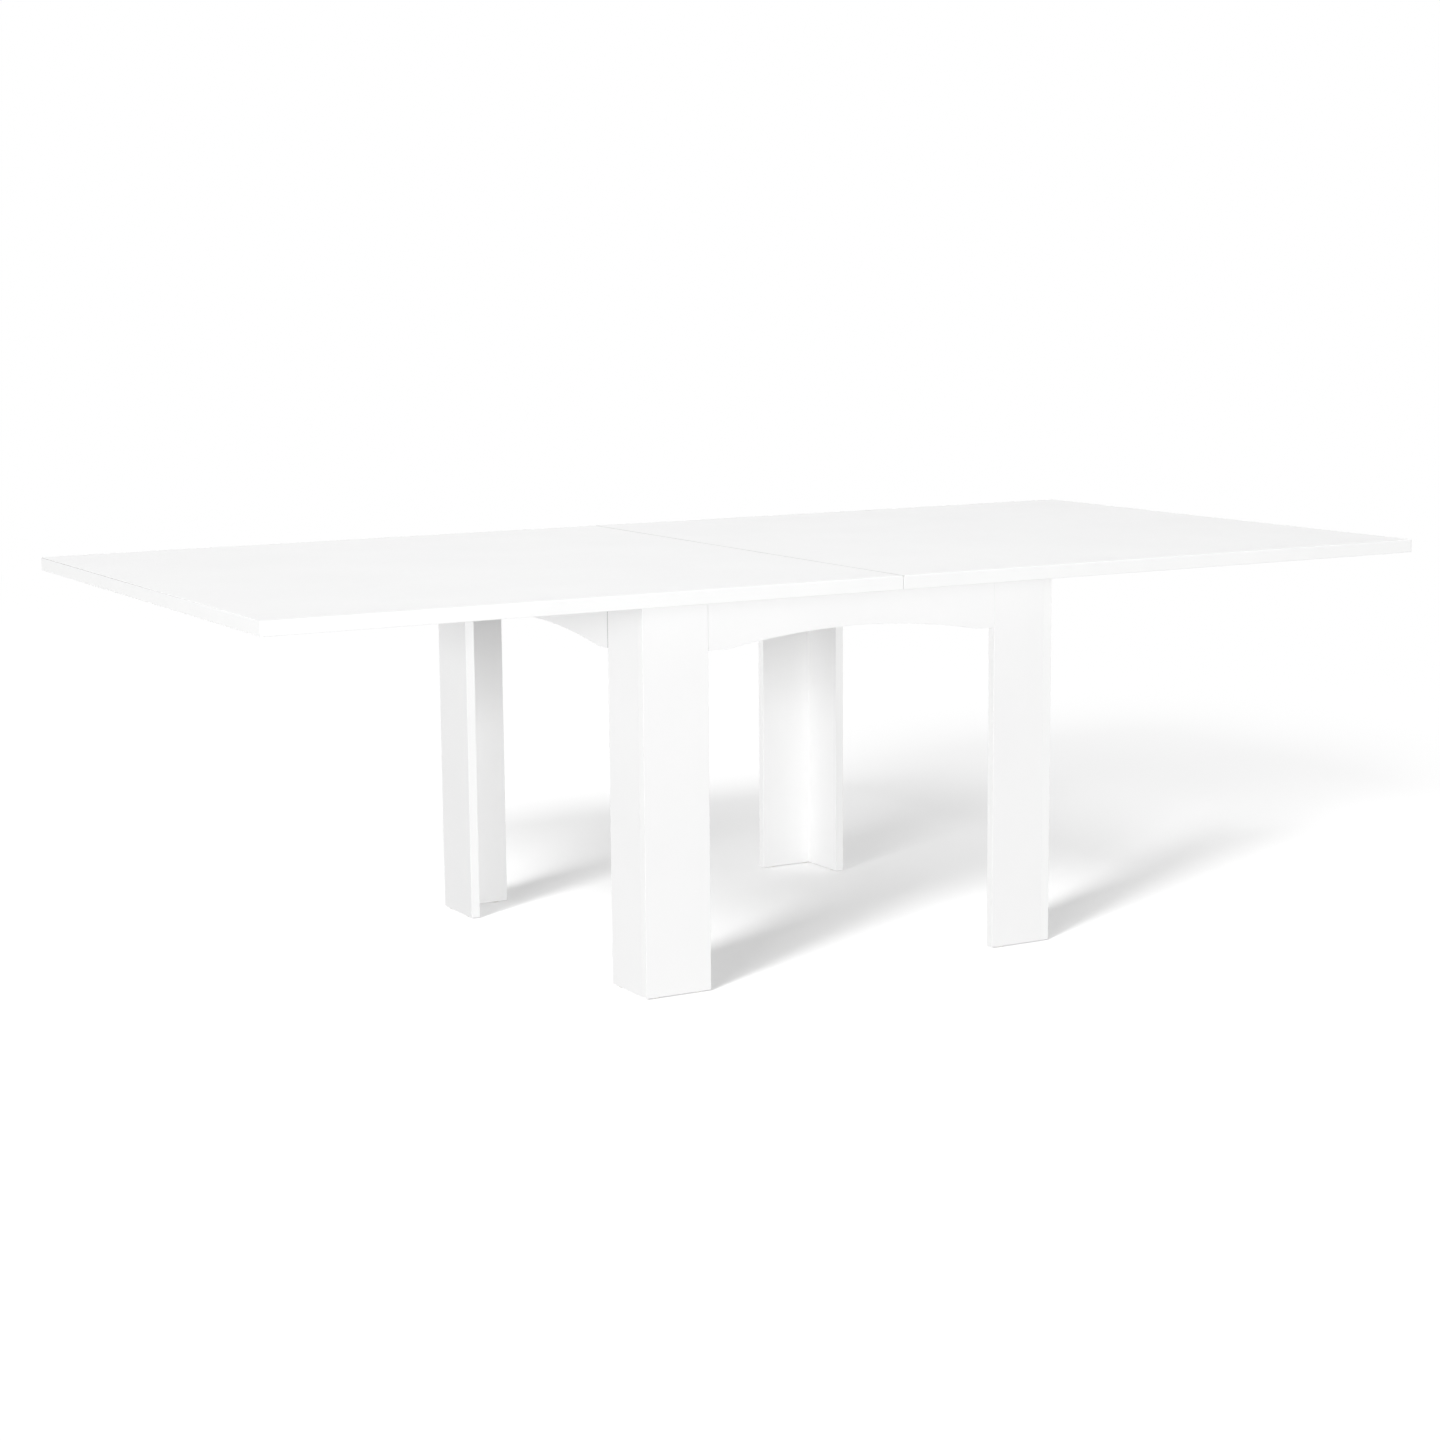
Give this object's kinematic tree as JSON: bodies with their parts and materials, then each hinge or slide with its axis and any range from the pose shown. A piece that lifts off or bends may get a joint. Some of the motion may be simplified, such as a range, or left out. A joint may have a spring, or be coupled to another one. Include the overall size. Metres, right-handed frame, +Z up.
{
  "type": "extending dining table",
  "caption": "White fold-over extending dining table: square leaves hinged along the seam fold and swivel on a square base with L-shaped panel legs and arched aprons.",
  "frame": {"origin": "on the floor, under the middle of the open top", "axes": "+X along the open top from the left leaf to the right leaf, +Y from the front to the back, +Z up"},
  "size_m": [2.4, 1.2, 0.75],
  "materials": {
    "white_board": "white melamine-faced board, satin",
    "white_edging": "white plastic edging, satin",
    "zinc_steel": "zinc-plated steel",
    "hinge_brass": "turned brass",
    "link_steel": "ground steel",
    "nylon": "moulded off-white nylon",
    "felt": "pressed grey felt",
    "beech": "fluted beech, unfinished"
  },
  "bodies": {
    "base": {"front_left_leg_wide_panel": "white_board", "front_left_leg_narrow_panel": "white_board", "front_right_leg_wide_panel": "white_board", "front_right_leg_narrow_panel": "white_board", "back_right_leg_wide_panel": "white_board", "back_right_leg_narrow_panel": "white_board", "back_left_leg_wide_panel": "white_board", "back_left_leg_narrow_panel": "white_board", "front_apron": "white_board", "right_apron": "white_board", "back_apron": "white_board", "left_apron": "white_board", "leg_edge_bands": "white_edging", "apron_edge_bands": "white_edging", "leg_dowels": "beech", "apron_dowels": "beech", "joint_plates": "zinc_steel", "joint_plate_screws": "zinc_steel", "leg_glides": "nylon", "pivot_rail": "white_board", "support_rail": "white_board", "rail_brackets": "zinc_steel", "rail_bracket_screws": "zinc_steel", "pivot_bush": "nylon", "glide_felts": "felt"},
    "left_leaf": {"left_leaf_board": "white_board", "left_leaf_edging": "white_edging", "left_hinge_barrels": "hinge_brass", "swivel_plate": "zinc_steel", "swivel_plate_screws": "zinc_steel", "swivel_bolt": "zinc_steel", "stop_stud": "zinc_steel", "swivel_washer": "zinc_steel", "swivel_nut": "zinc_steel"},
    "right_leaf": {"right_leaf_board": "white_board", "right_leaf_edging": "white_edging", "right_hinge_barrels": "hinge_brass"},
    "left_links": {"left_hinge_links": "link_steel"},
    "right_links": {"right_hinge_links": "link_steel"}
  },
  "joints": [
    {"name": "top_swivel", "type": "hinge", "parent": "base", "child": "left_leaf", "pos_m": [-0.3, 0.3, 0.725], "axis": [0, 0, 1], "range_deg": [0, 90]},
    {"name": "leaf_fold", "type": "hinge", "parent": "left_leaf", "child": "right_leaf", "pos_m": [0, 0, 0.7503], "axis": [0, -1, 0], "range_deg": [0, 180]},
    {"name": "left_link_turn", "type": "hinge", "parent": "left_leaf", "child": "left_links", "pos_m": [0, 0, 0.7503], "axis": [0, -1, 0], "range_deg": [0, 60]},
    {"name": "right_link_turn", "type": "hinge", "parent": "left_leaf", "child": "right_links", "pos_m": [0, 0, 0.7503], "axis": [0, -1, 0], "range_deg": [0, 120]}
  ],
  "couplings": [
    {"joint": "left_link_turn", "follows": "leaf_fold", "ratio": 0.33333},
    {"joint": "right_link_turn", "follows": "leaf_fold", "ratio": 0.66667}
  ]
}
